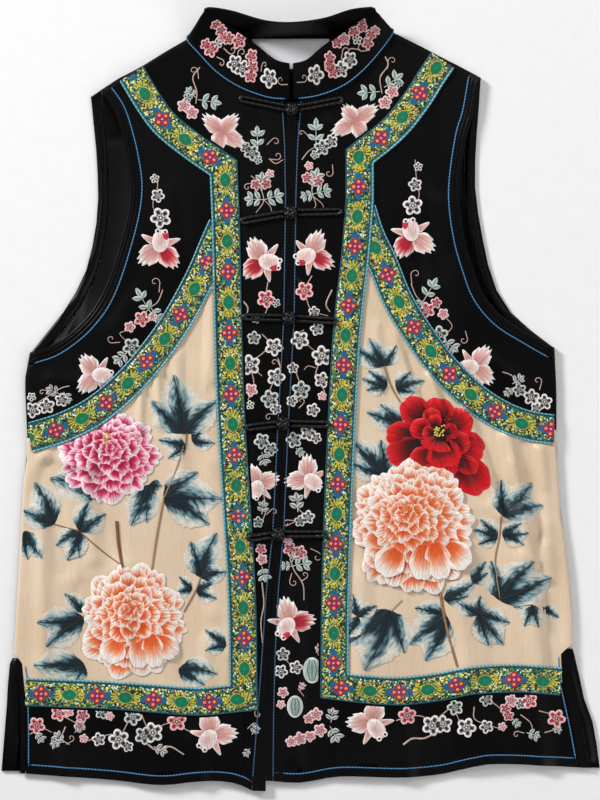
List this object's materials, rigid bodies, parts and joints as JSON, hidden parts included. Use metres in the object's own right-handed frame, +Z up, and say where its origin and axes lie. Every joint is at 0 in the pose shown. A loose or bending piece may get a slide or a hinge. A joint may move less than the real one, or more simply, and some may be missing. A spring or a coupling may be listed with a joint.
{
  "type": "embroidered waistcoat",
  "caption": "Sleeveless silk waistcoat with a standing collar, a front opening closed by frogs, banded fronts and side slits, laid out flat.",
  "frame": {"origin": "centre of the bounding box, on the surface that the back lies on", "axes": "+X to the wearer's left (the right of someone who looks down at the front), +Y from the hem to the collar, +Z up from the surface"},
  "size_m": [0.568, 0.7422, 0.0383],
  "materials": {
    "black_silk": "satin",
    "cream_silk": "satin",
    "black_satin": "satin",
    "ribbon": "woven",
    "piping": "satin",
    "label": "woven"
  },
  "bodies": {
    "root": {"back": "black_silk", "right_armhole_panel": "black_silk", "right_placket_panel": "black_silk", "right_hem_band": "black_silk", "right_cream_panel": "cream_silk", "right_armhole_binding": "black_satin", "right_front_edge_binding": "black_satin", "right_hem_binding": "black_satin", "right_slit_binding": "black_satin", "right_back_armhole_binding": "black_satin", "right_back_slit_binding": "black_satin", "right_border_ribbon": "ribbon", "right_arc_ribbon": "ribbon", "right_border_piping": "piping", "right_arc_upper_piping": "piping", "right_arc_lower_piping": "piping", "left_armhole_panel": "black_silk", "left_placket_panel": "black_silk", "left_hem_band": "black_silk", "left_cream_panel": "cream_silk", "left_armhole_binding": "black_satin", "left_front_edge_binding": "black_satin", "left_hem_binding": "black_satin", "left_slit_binding": "black_satin", "left_back_armhole_binding": "black_satin", "left_back_slit_binding": "black_satin", "left_border_ribbon": "ribbon", "left_arc_ribbon": "ribbon", "left_border_piping": "piping", "left_arc_upper_piping": "piping", "left_arc_lower_piping": "piping", "collar": "black_silk", "label": "label", "frog_1_knot": "black_satin", "frog_1_right_cord": "black_satin", "frog_1_left_cord": "black_satin", "frog_2_knot": "black_satin", "frog_2_right_cord": "black_satin", "frog_2_left_cord": "black_satin", "frog_3_knot": "black_satin", "frog_3_right_cord": "black_satin", "frog_3_left_cord": "black_satin", "frog_4_knot": "black_satin", "frog_4_right_cord": "black_satin", "frog_4_left_cord": "black_satin", "frog_5_knot": "black_satin", "frog_5_right_cord": "black_satin", "frog_5_left_cord": "black_satin"}
  },
  "joints": []
}
